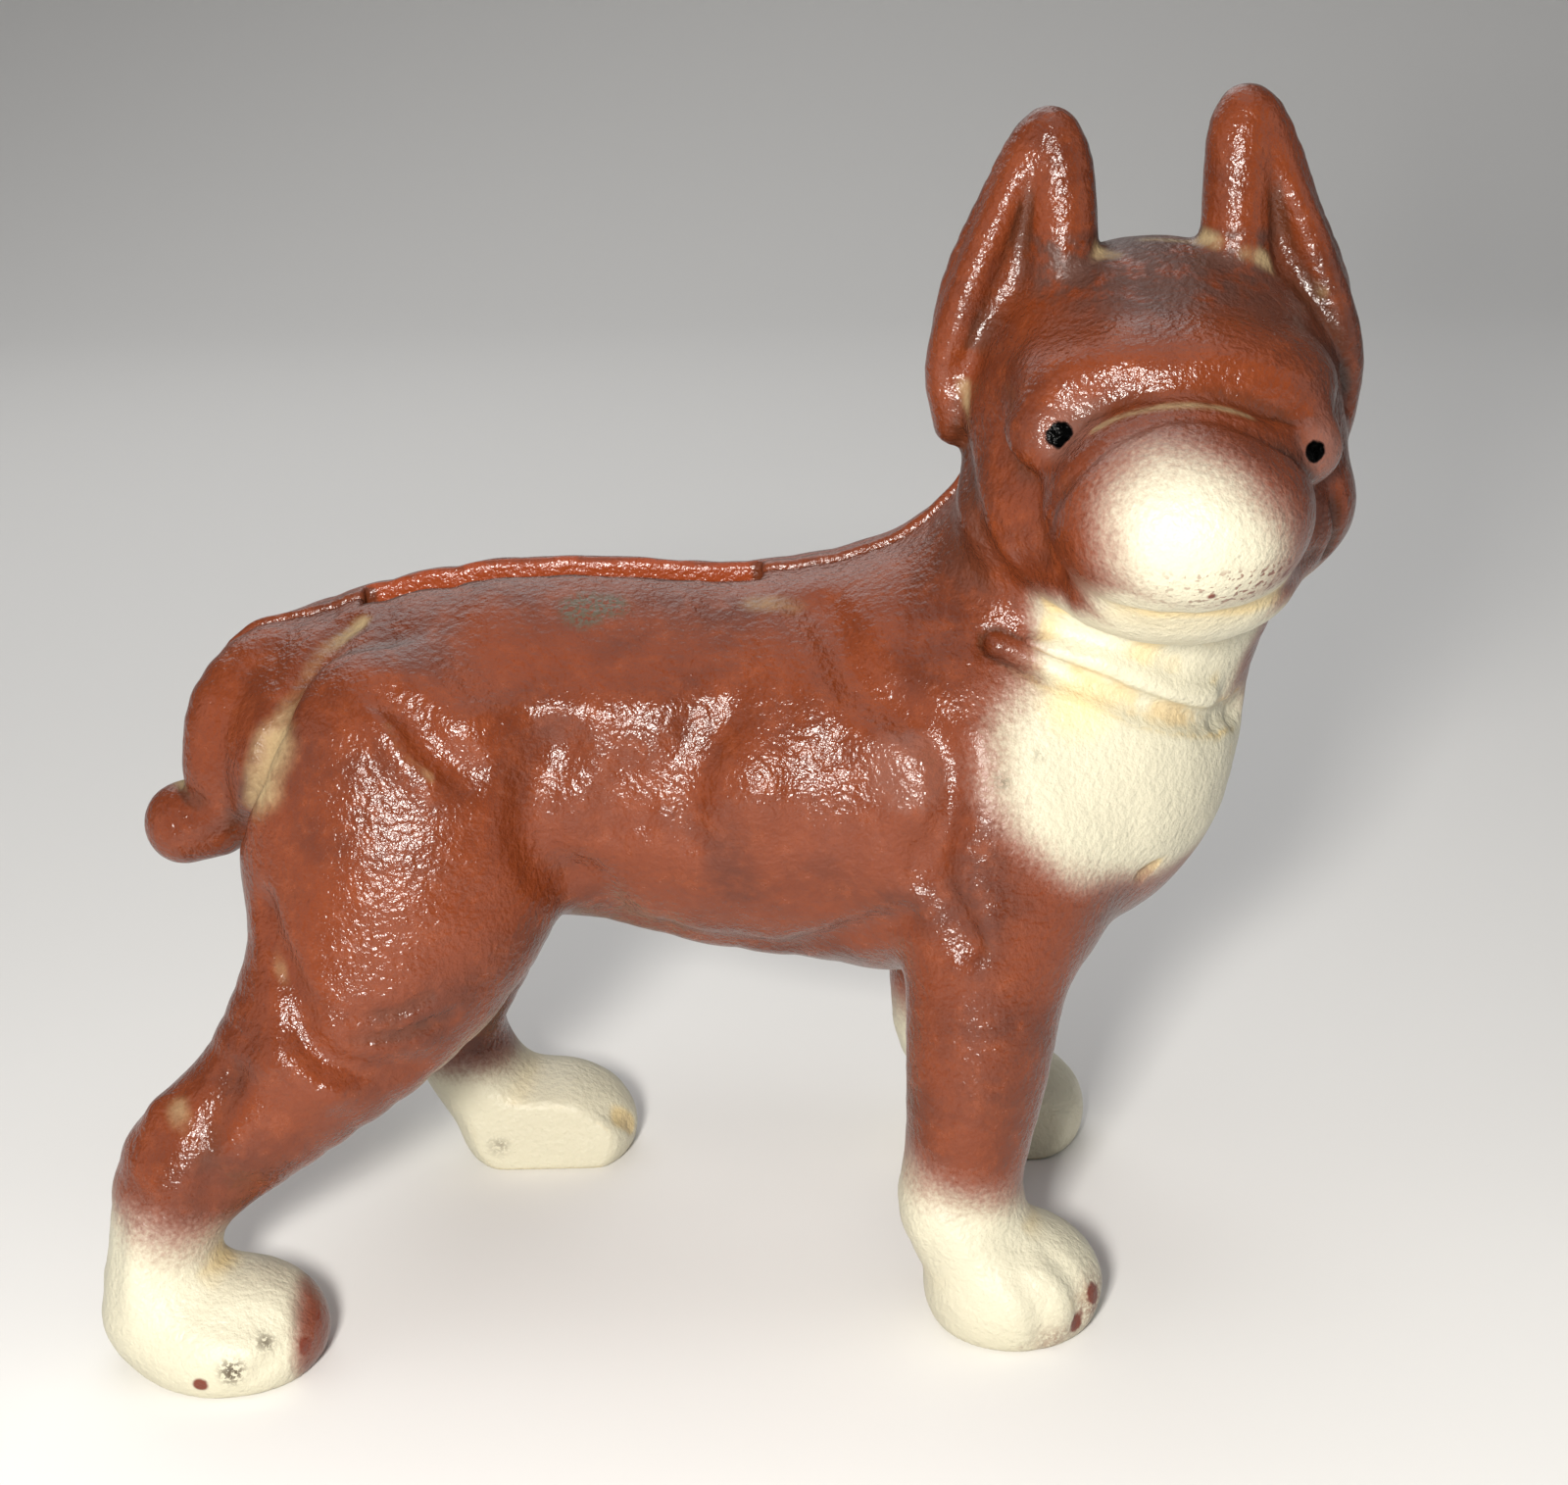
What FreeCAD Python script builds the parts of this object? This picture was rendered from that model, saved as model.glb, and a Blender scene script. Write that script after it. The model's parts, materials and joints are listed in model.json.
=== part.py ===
"""Figural dog coin bank: two hollow iron castings parted on the body's middle plane, held by one screw.

Millimetres, +Z up, +X towards the chest, +Y towards the dog's left side. The shapes are worked out with
the parting plane at y = 0, and each sub-part's Placement then puts the origin under the middle of the bank.
"""
import FreeCAD
import Part
import os
import Sketcher

DOC = FreeCAD.newDocument("dog_bank")
VEC = FreeCAD.Vector
ALONG_Y = FreeCAD.Rotation(VEC(1, 0, 0), -90)

# A limb is a row of oval sections: x, y, z of the middle, half width fore and aft, half width across.
TRUNK = [(-51, 0, 62, 9, 12), (-46, 0, 62.5, 13, 18), (-37, 0, 62.3, 16.5, 21), (-25, 0, 61.8, 19.3, 20.5),
         (-12, 0, 60.8, 20.1, 20.5), (0, 0, 58.8, 21.3, 22.5), (12, 0, 58.5, 22.8, 24.5),
         (23, 0, 58.5, 24.3, 26), (31, 0, 59.5, 21.5, 25), (37, 0, 61, 16.5, 20)]
NECK = [(33, 0, 66, 21, 19), (38, -2, 76, 19, 18), (43, -5, 86, 17.5, 17), (45, -7, 95, 16.1, 16)]
FORELEG = [(28, 19, 54, 11, 8.2), (26.5, 20.5, 42, 8.9, 8.2), (25.2, 21.8, 30, 8, 7.9),
           (23.8, 22.3, 19, 7.6, 7.4), (24.2, 22.3, 11, 7.6, 7.4), (26, 22.3, 0, 7.8, 7.5)]
RIGHT_HIND = [(-37, 13, 60, 16, 12), (-37.5, 17, 48, 15.3, 12), (-43, 20, 38, 12, 10.8),
              (-51.5, 23, 29, 9.2, 9), (-60.6, 25, 21.5, 8.3, 8.2), (-63.6, 26, 13.5, 8.1, 8),
              (-62, 27, 0, 8.4, 8.2)]
LEFT_HIND = [(-35, 13, 60, 16, 12), (-33, 17, 48, 15, 12), (-32, 20, 37, 10.8, 10.5),
             (-34, 21.5, 27, 8.9, 8.8), (-36.5, 22, 18.5, 8.1, 8), (-34.5, 22.5, 11, 8.1, 8),
             (-32, 22.5, 0, 8.2, 8)]
TAIL = [(-42, 0, 68.5, 6.2, 6), (-50.5, -1.5, 69.6, 6.2, 6), (-55, -5.2, 66.5, 5.4, 5.2),
        (-56.6, -6.5, 61, 4.9, 4.8), (-57.4, -6.5, 56, 4.8, 4.7)]
EAR = [(15, -6.5, 98, 7, 5.2), (15.5, -7, 105, 7.4, 4.6), (14.6, -7.4, 112, 7, 4.2),
       (12.6, -7.8, 120, 5.6, 3.9), (11, -8, 127, 3.8, 3.3), (10.3, -8, 130.8, 1.5, 1.4)]

# A lump is an ellipsoid: x, y, z of the middle, then its half sizes along x, y and z.
CHEST = (38.6, 0, 62, 15.2, 21.5, 20)
HAUNCH = (-36, 14.5, 54, 17.5, 11, 20)
SHOULDER = (27, 15.5, 56, 13.5, 11.5, 20)
SKULL = (44.6, -8, 99, 20.3, 18, 18.5)
CHEEKS = (44.6, -13, 90.5, 20.8, 15, 11.5)
BROW = (45.2, -20, 104.5, 16.5, 10, 8.5)
MUZZLE = (44.4, -30.5, 94.8, 13.4, 16.5, 10.6)
CHIN = (45.1, -26, 85, 12, 14, 6)
TAIL_KNOB = (-60.6, -6, 54.6, 5.6, 5, 5)
FORE_PAW = (29.2, 22.3, 4, 9.8, 10.2, 8)
RIGHT_HIND_PAW = (-56.8, 28.3, 3.6, 10.8, 10.4, 7.4)
LEFT_HIND_PAW = (-25, 21.5, 3.4, 10.8, 10.4, 7.4)

DIMENSIONS = {
    "origin_x": 2.7,             # from the parting plane's zero to the origin under the bank
    "origin_y": 7.25,
    "wall": 3.2,
    "leg_inner_y": 12.5,         # the flat inner faces of the legs
    "right_hind_inner_y": 14,
    "left_leg_forward": 2.5,     # the left foreleg stands this much ahead of the right one
    "ear_middle_x": 43.7,
    "ear_rise": 2,               # the front ear is this much taller
    "slot_start_x": -41,
    "slot_length": 44,
    "slot_width": 4.8,
    "slot_floor_z": 68,
    "boss_x": 15.6,
    "boss_z": 64.5,
    "boss_radius": 7,
    "screw_seat_y": 20.5,
    "screw_shank_radius": 2.41,
    "screw_shank_length": 34.5,
    "screw_tip_chamfer": 0.8,
    "screw_head_radius": 4,
    "screw_head_height": 3.2,
    "screw_head_chamfer": 0.5,
    "screw_slot_width": 1.3,
    "screw_slot_depth": 1.4,
    "bore_radius": 2.46,
    "bore_depth": 16,
    "clearance_radius": 2.75,
    "counterbore_radius": 4.6,
    "peg_radius": 2,
    "peg_length": 2,
    "peg_clearance": 0.25,
    "lug_radius": 4.2,
    "lug_depth": 9,
    "front_lug_x": 47.6,
    "front_lug_z": 62,
    "rear_lug_x": -43,
    "rear_lug_z": 69,
    "half_space": 160,
    "parting_y": 0,
    "floor_z": 0,
}


def make_sheet():
    """The driving dimensions, one named cell each; sections and lumps get their cells as they are made."""
    sheet = DOC.addObject("Spreadsheet::Sheet", "Dimensions")
    for alias, value in DIMENSIONS.items():
        add_cell(sheet, alias, value)
    return sheet


def add_cell(sheet, alias, value):
    """Write one plain number into the next free row and name it."""
    add_cell.row += 1
    sheet.set(f"A{add_cell.row}", alias)
    sheet.set(f"B{add_cell.row}", str(value))
    sheet.setAlias(f"B{add_cell.row}", alias)


add_cell.row = 0
SHEET = make_sheet()


def bind(obj, **expressions):
    """Bind properties to sheet cells; a double underscore in a name stands for a dot."""
    for name, expression in expressions.items():
        words = expression.split(" ")
        bound = [f"Dimensions.{w}" if w[0].isalpha() else w for w in words]
        obj.setExpression(name.replace("__", "."), " ".join(bound))


def add(kind, name):
    """A new document object."""
    return DOC.addObject(kind, name)


def sheet_row(name, values, words):
    """Put a section's or a lump's numbers in the sheet, and give the cells' names."""
    aliases = [f"{name}_{word}" for word in words]
    for alias, value in zip(aliases, values):
        add_cell(SHEET, alias, value)
    return aliases


def section(name, station, tangent, across_is_major, shrink):
    """One oval section square to the path, its radii reduced by the wall where it belongs to the core."""
    cells = sheet_row(name, station, ("px", "py", "pz", "fore", "across"))
    oval = add("Part::Ellipse", name)
    across = VEC(0, 1, 0) - tangent * tangent.y
    fore = across.cross(tangent)
    major, minor = (across, fore) if across_is_major else (fore, across)
    major_cell, minor_cell = (cells[4], cells[3]) if across_is_major else (cells[3], cells[4])
    turn = FreeCAD.Rotation(major, VEC(), tangent, "ZXY")
    oval.Placement = FreeCAD.Placement(VEC(*station[:3]), turn)
    take = " - wall" if shrink else ""
    bind(oval, MajorRadius=major_cell + take, MinorRadius=minor_cell + take,
         Placement__Base__x=cells[0], Placement__Base__y=cells[1], Placement__Base__z=cells[2])
    return oval


def limb(name, stations, across_is_major=False, shrink=False):
    """A smooth loft through a limb's sections."""
    points = [VEC(*station[:3]) for station in stations]
    sections = []
    for i, station in enumerate(stations):
        before = points[max(i - 1, 0)]
        after = points[min(i + 1, len(points) - 1)]
        tangent = (after - before).normalize()
        sections.append(section(f"{name}_{i + 1}", station, tangent, across_is_major, shrink))
    loft = add("Part::Loft", name)
    loft.Sections = sections
    loft.Solid = True
    loft.Ruled = False
    return loft


def lump(name, values, tilt=0, shrink=False):
    """An ellipsoid, tilted about Y by some degrees."""
    cells = sheet_row(name, values, ("px", "py", "pz", "half_x", "half_y", "half_z"))
    egg = add("Part::Ellipsoid", name)
    egg.Placement = FreeCAD.Placement(VEC(*values[:3]), FreeCAD.Rotation(VEC(0, 1, 0), tilt))
    take = " - wall" if shrink else ""
    bind(egg, Radius1=cells[5] + take, Radius2=cells[3] + take, Radius3=cells[4] + take,
         Placement__Base__x=cells[0], Placement__Base__y=cells[1], Placement__Base__z=cells[2])
    return egg


def fuse(name, shapes):
    """Several solids joined."""
    joined = add("Part::MultiFuse", name)
    joined.Shapes = shapes
    joined.Refine = False
    return joined


def cut(name, base, tool):
    """One solid less another."""
    result = add("Part::Cut", name)
    result.Base = base
    result.Tool = tool
    result.Refine = False
    return result


def common(name, base, tool):
    """What two solids share."""
    result = add("Part::Common", name)
    result.Base = base
    result.Tool = tool
    result.Refine = False
    return result


def side_space(name, side, inner_cell=None):
    """A big box on one side of the parting plane, side -1 right or +1 left, standing on the floor."""
    block = add("Part::Box", name)
    block.Placement.Base = VEC(0, 0, 0)
    start = inner_cell or "parting_y"
    shift = start if side > 0 else f"0 - half_space - {start}"
    bind(block, Length="2 * half_space", Width="half_space", Height="half_space",
         Placement__Base__x="0 - half_space", Placement__Base__y=shift)
    return block


def rod(name, radius, length, x_cell, z_cell, y_expression):
    """A cylinder along +Y that starts at the given y."""
    cylinder = add("Part::Cylinder", name)
    cylinder.Placement = FreeCAD.Placement(VEC(0, 0, 0), ALONG_Y)
    bind(cylinder, Radius=radius, Height=length, Placement__Base__x=x_cell,
         Placement__Base__y=y_expression, Placement__Base__z=z_cell)
    return cylinder


def on_side(stations, side, forward=0):
    """Stations given for the left side, moved to a side and forward."""
    return [(s[0] + forward, s[1] * side) + tuple(s[2:]) for s in stations]


def leg(name, stations, paw, side, inner_cell, forward=0):
    """A solid leg and its paw, flat on the sole and on the inner face."""
    shank = limb(f"{name}_limb", on_side(stations, side, forward))
    foot = lump(f"{name}_paw", on_side([paw], side, forward)[0])
    whole = fuse(f"{name}_whole", [shank, foot])
    return common(name, whole, side_space(f"{name}_space", side, inner_cell))


def ear(name, side):
    """One pricked ear; side -1 is the rear one."""
    middle = DIMENSIONS["ear_middle_x"]
    rise = DIMENSIONS["ear_rise"] if side > 0 else 0
    top = EAR[-1][2]
    base = EAR[0][2]
    stations = []
    for across_head, y, z, fore, across in EAR:
        lift = rise * (z - base) / (top - base)
        stations.append((middle + side * across_head, y, z + lift, fore, across))
    return limb(name, stations)


def outer_form():
    """The whole dog, solid, as the pattern maker carved it."""
    pieces = [limb("trunk", TRUNK, across_is_major=True), limb("neck", NECK), lump("chest", CHEST)]
    for side, word in ((-1, "right"), (1, "left")):
        pieces.append(lump(f"{word}_haunch", on_side([HAUNCH], side)[0], tilt=18))
        pieces.append(lump(f"{word}_shoulder", on_side([SHOULDER], side)[0], tilt=-12))
    pieces += [lump("skull", SKULL), lump("cheeks", CHEEKS), lump("brow", BROW)]
    pieces += [lump("muzzle", MUZZLE), lump("chin", CHIN), ear("rear_ear", -1), ear("front_ear", 1)]
    pieces += [limb("tail", TAIL), lump("tail_knob", TAIL_KNOB)]
    forward = DIMENSIONS["left_leg_forward"]
    pieces.append(leg("right_foreleg", FORELEG, FORE_PAW, -1, "leg_inner_y"))
    pieces.append(leg("left_foreleg", FORELEG, FORE_PAW, 1, "leg_inner_y", forward))
    pieces.append(leg("right_hind_leg", RIGHT_HIND, RIGHT_HIND_PAW, -1, "right_hind_inner_y"))
    pieces.append(leg("left_hind_leg", LEFT_HIND, LEFT_HIND_PAW, 1, "leg_inner_y"))
    return fuse("outer_form", pieces)


def core_form():
    """The sand core: the body and head less one wall all round, with holes that cast the boss and lugs."""
    pieces = [limb("trunk_core", TRUNK[1:], across_is_major=True, shrink=True)]
    pieces.append(limb("neck_core", NECK, shrink=True))
    pieces.append(lump("chest_core", CHEST, shrink=True))
    pieces.append(lump("skull_core", SKULL, shrink=True))
    for side, word in ((-1, "right"), (1, "left")):
        pieces.append(lump(f"{word}_haunch_core", on_side([HAUNCH], side)[0], tilt=18, shrink=True))
        pieces.append(lump(f"{word}_shoulder_core", on_side([SHOULDER], side)[0], tilt=-12, shrink=True))
    return cut("core_form", fuse("core_lumps", pieces), fuse("lug_rods", inner_lugs()))


def coin_slot():
    """The slot through the back, astride the parting plane."""
    block = add("Part::Box", "coin_slot")
    bind(block, Length="slot_length", Width="slot_width", Height="half_space",
         Placement__Base__x="slot_start_x", Placement__Base__y="0 - slot_width / 2",
         Placement__Base__z="slot_floor_z")
    return block


def inner_lugs():
    """The screw bosses from wall to wall and the two register lugs across the parting plane."""
    boss = rod("boss", "boss_radius", "2 * half_space", "boss_x", "boss_z", "0 - half_space")
    front = rod("front_lug", "lug_radius", "2 * lug_depth", "front_lug_x", "front_lug_z", "0 - lug_depth")
    rear = rod("rear_lug", "lug_radius", "2 * lug_depth", "rear_lug_x", "rear_lug_z", "0 - lug_depth")
    return [boss, front, rear]


def half_form(word, side, outer):
    """One side of the parting plane, still solid."""
    return common(f"{word}_form", outer, side_space(f"{word}_space", side))


def hollowed(word, form, core, slot):
    """A half's form with the core's space and the coin slot taken out."""
    return cut(f"{word}_slotted", cut(f"{word}_hollow", form, core), slot)


def peg_rods(word, radius, length, start):
    """Both register pegs, or the sockets for them."""
    front = rod(f"{word}_front", radius, length, "front_lug_x", "front_lug_z", start)
    rear = rod(f"{word}_rear", radius, length, "rear_lug_x", "rear_lug_z", start)
    return fuse(word, [front, rear])


def right_half(outer, core, slot):
    """The half with the face: blind screw bore and two register pegs."""
    shell = hollowed("right", half_form("right", -1, outer), core, slot)
    bore = rod("right_bore", "bore_radius", "bore_depth", "boss_x", "boss_z", "0 - bore_depth")
    bored = cut("right_bored", shell, bore)
    pegs = peg_rods("pegs", "peg_radius", "2 * peg_length", "0 - peg_length")
    return fuse("right_half_casting", [bored, pegs])


def left_half(outer, core, slot):
    """The plain half: clearance hole, counterbore for the screw's head and two register sockets."""
    hole = rod("left_hole", "clearance_radius", "half_space", "boss_x", "boss_z", "0 - peg_length")
    seat = rod("left_counterbore", "counterbore_radius", "half_space", "boss_x", "boss_z", "screw_seat_y")
    drilled = cut("left_drilled", half_form("left", 1, outer), hole)
    shell = hollowed("left", cut("left_seated", drilled, seat), core, slot)
    sockets = peg_rods("sockets", "peg_radius + peg_clearance", "2 * peg_length + peg_clearance",
                       "0 - peg_length")
    return cut("left_half_casting", shell, sockets)


def plane_of(body, role):
    """One of a body's own origin planes or axes."""
    return [part for part in body.Origin.OriginFeatures if part.Role == role][0]


def profile(body, name, corners):
    """A closed outline on the body's XY plane, each corner held by two named dimensions."""
    sketch = body.newObject("Sketcher::SketchObject", name)
    sketch.AttachmentSupport = [(plane_of(body, "XY_Plane"), "")]
    sketch.MapMode = "FlatFace"
    SHEET.recompute()
    spots = [VEC(SHEET.evalExpression(x), SHEET.evalExpression(y), 0) for x, y in corners]
    for i, spot in enumerate(spots):
        sketch.addGeometry(Part.LineSegment(spot, spots[(i + 1) % len(spots)]), False)
    for i in range(len(spots)):
        sketch.addConstraint(Sketcher.Constraint("Coincident", i, 2, (i + 1) % len(spots), 1))
    for i, (x, y) in enumerate(corners):
        for kind, expression, value in (("DistanceX", x, spots[i].x), ("DistanceY", y, spots[i].y)):
            number = sketch.addConstraint(Sketcher.Constraint(kind, -1, 1, i, 1, value))
            sketch.setExpression(f"Constraints[{number}]", expression)
    return sketch


def assembly_screw():
    """The slotted fillister-head machine screw, its seat at the body's own origin, head towards +Y."""
    body = add("PartDesign::Body", "assembly_screw")
    shank = "Dimensions.screw_shank_radius"
    tip = "-Dimensions.screw_shank_length"
    nose = "Dimensions.screw_tip_chamfer"
    head = "Dimensions.screw_head_radius"
    top = "Dimensions.screw_head_height"
    bevel = "Dimensions.screw_head_chamfer"
    turned = body.newObject("PartDesign::Revolution", "turned_screw")
    outline = [("0", tip), (f"{shank} - {nose}", tip), (shank, f"{tip} + {nose}"), (shank, "0"),
               (head, "0"), (head, f"{top} - {bevel}"), (f"{head} - {bevel}", top), ("0", top)]
    turned.Profile = profile(body, "screw_outline", outline)
    turned.ReferenceAxis = (turned.Profile[0], ["V_Axis"])
    turned.Angle = 360
    DOC.recompute()
    slot = body.newObject("PartDesign::Pocket", "driver_slot")
    depth = f"{top} - Dimensions.screw_slot_depth"
    over = f"{top} + Dimensions.screw_slot_depth"
    reach = f"{head} + {bevel}"
    slot.Profile = profile(body, "slot_outline", [(f"-({reach})", depth), (reach, depth),
                                                  (reach, over), (f"-({reach})", over)])
    slot.Midplane = True
    slot.setExpression("Length", "Dimensions.screw_slot_width")
    body.Tip = slot
    return body


def check_and_write(sub_parts):
    """Refuse a failed object or a bad shape, then write each sub-part's STEP file."""
    failed = [obj.Name for obj in DOC.Objects if {"Invalid", "Error"} & set(obj.State)]
    if failed:
        raise RuntimeError(f"objects that failed: {failed}")
    os.makedirs("parts", exist_ok=True)
    for part in sub_parts:
        shape = part.Shape
        if shape.isNull() or not shape.isValid() or len(shape.Solids) != 1:
            raise RuntimeError(f"{part.Label} is not one valid solid: {shape.ShapeType} {len(shape.Solids)}")
        shape.exportStep(os.path.join("parts", f"{part.Label}.step"))
        print(part.Label, round(shape.Volume), "mm3")


def place(part, x="origin_x", y="origin_y", z="floor_z"):
    """Bind a sub-part's Placement, so that the origin lies under the middle of the bank."""
    bind(part, Placement__Base__x=x, Placement__Base__y=y, Placement__Base__z=z)
    return part


def build():
    """The whole bank."""
    outer = outer_form()
    core = core_form()
    slot = coin_slot()
    right = place(right_half(outer, core, slot))
    left = place(left_half(outer, core, slot))
    screw = place(assembly_screw(), "origin_x + boss_x", "origin_y + screw_seat_y", "boss_z")
    DOC.recompute()
    check_and_write([right, left, screw])


build()
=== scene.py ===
"""Figural dog coin bank: two painted iron castings and the screw that holds them together."""
import json
import math
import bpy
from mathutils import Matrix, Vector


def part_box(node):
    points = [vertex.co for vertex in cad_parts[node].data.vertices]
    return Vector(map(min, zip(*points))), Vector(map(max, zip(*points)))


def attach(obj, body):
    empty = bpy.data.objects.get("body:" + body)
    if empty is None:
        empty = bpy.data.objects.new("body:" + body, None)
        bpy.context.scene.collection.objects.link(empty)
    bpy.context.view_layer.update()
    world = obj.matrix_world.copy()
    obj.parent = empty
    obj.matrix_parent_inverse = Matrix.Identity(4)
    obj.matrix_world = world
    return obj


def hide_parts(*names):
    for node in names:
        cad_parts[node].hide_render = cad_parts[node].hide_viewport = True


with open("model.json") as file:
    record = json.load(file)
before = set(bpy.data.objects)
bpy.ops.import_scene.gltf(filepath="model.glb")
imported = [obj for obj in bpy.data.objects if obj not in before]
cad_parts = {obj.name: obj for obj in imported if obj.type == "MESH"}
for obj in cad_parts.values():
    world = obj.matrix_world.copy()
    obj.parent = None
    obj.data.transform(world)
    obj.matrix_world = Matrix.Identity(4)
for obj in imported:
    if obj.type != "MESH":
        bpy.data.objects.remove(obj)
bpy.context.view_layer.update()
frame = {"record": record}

from concurrent.futures import ThreadPoolExecutor

import bpy
import numpy as np
from mathutils import Matrix, Vector

# ---------------------------------------------------------------------------------------------------
# Right half casting: the near side of the dog with the whole head, cast hollow in iron in a sand mould
# that parts on the body's middle plane, then sprayed with brown enamel and touched in with cream.
# It is modelled as one field of signed distance, because legs, folds and ears flow into each other.

MM = 0.001
SCREW_JOINT = next(j for j in frame["record"]["behaviour"]["joints"] if j["name"] == "screw_turn")
BOSS = (15.6, 64.5)                                   # x and z of the screw's axis, from the parting origin
PARTING_ORIGIN = np.array([SCREW_JOINT["pos_m"][0] - BOSS[0] * MM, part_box("left_half_casting")[0].y, 0])
WALL = 3.2
GRID = 0.72
OUTSIDE = 30.0                                        # a distance that stands for far away

# Sections of each limb: x, y, z of the middle, half width fore and aft, half width across.
TRUNK = [(-52, 0, 62, 9, 12), (-46, 0, 62.5, 13, 18), (-37, 0, 62.3, 16.5, 21), (-25, 0, 61.8, 19.3, 20.5),
         (-12, 0, 60.8, 20.1, 20.5), (0, 0, 58.8, 21.3, 22.5), (12, 0, 58.5, 22.8, 24.5),
         (23, 0, 58.5, 24.3, 26), (31, 0, 59.5, 21.5, 25), (37, 0, 61, 16.5, 20), (41, 0, 63, 9, 12)]
NECK = [(33, 0, 66, 21, 19), (38, -2, 76, 19, 18), (43, -5, 86, 17.5, 17), (45, -7, 95, 16, 16)]
FORELEG = [(28, 19, 54, 11, 8), (26.5, 20.5, 42, 8.9, 8.2), (25.2, 21.8, 30, 7.7, 8),
           (23.8, 22.3, 19, 6.6, 7.6), (23.6, 22.3, 13.5, 6.9, 7.6), (25.8, 22.3, 8, 6, 8)]
RIGHT_HIND = [(-37, 13, 60, 16, 12), (-37.5, 17, 48, 15.3, 12), (-43, 20, 38, 12, 10.8),
              (-51.5, 23, 29, 8.6, 9), (-60.6, 25, 21.5, 7.3, 8.3), (-63.6, 26, 13.5, 6, 8),
              (-63.6, 27, 6.5, 7.3, 9)]
LEFT_HIND = [(-35, 13, 60, 16, 12), (-33, 17, 48, 15, 12), (-32, 20, 37, 10.5, 10.5),
             (-34, 21.5, 27, 7.8, 8.8), (-36.5, 22, 18.5, 6.3, 8), (-34.5, 22.5, 11.5, 5.8, 8.2),
             (-30.5, 22.5, 5.5, 5.8, 9)]
TAIL = [(-44, 0, 69, 6.2, 6.5), (-50.5, -1.5, 69.6, 6.2, 6.3), (-54.9, -5, 67, 5.4, 5.6),
        (-56.4, -6.5, 61.5, 4.9, 5), (-57, -6.5, 56.4, 4.8, 5), (-61.5, -6, 54.4, 4.6, 4.8)]

HEAD_X = 44.6
EAR_X = 43.7                                          # middle between the ears
# Lumps that the outside and the hollow share: x, y and z of the middle, half sizes, tilt about y in degrees.
CHEST = ((38.6, 0, 62), (15.2, 21.5, 20), 0)
SKULL = ((HEAD_X, -8, 99), (20.3, 18, 18.5), 0)
HAUNCH = ((-36, 14.5, 54), (17.5, 11, 20), 18)
SHOULDER = ((27, 15.5, 56), (13.5, 11.5, 20), -12)
FORE_PAW = ((29.2, 22.3, 4), (9.8, 10.2, 8))
HIND_PAW_SIZE = (10.8, 10.4, 7.4)
LEFT_LEG_FORWARD = 2.5                                # the left forepaw stands this much ahead of the right
EAR_RISE = 2.0                                        # the front ear stands this much taller
MISMATCH = 0.6                                        # how proud the left half stands along the back

# An ear, x counted outwards from the middle between the ears: inner ridge, cupped blade and outer rim.
EAR_RIDGE = [(9.4, -9, 108, 4, 5), (8.9, -9, 118, 3.6, 4.2), (9.3, -8.5, 125, 3.5, 3.6),
             (9.8, -8, 127.8, 2.8, 3.2)]
EAR_BLADE = [(15, -6, 104, 7.5, 5.5), (14.3, -6.5, 111, 7.3, 3.6), (12.8, -6.5, 118, 6, 2.9),
             (11, -7, 125, 4.4, 2.7), (10.4, -7.5, 128, 2.8, 2.7)]
EAR_RIM = [(20, -7, 98, 2.2, 3.5), (20.8, -8, 104, 2.3, 3.2), (19.5, -8.8, 110, 2.2, 2.8),
           (16.8, -8.8, 117, 2.1, 2.4), (13.9, -8.5, 123.5, 2, 2.4), (11.4, -8, 127.6, 2, 2.4)]

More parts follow.
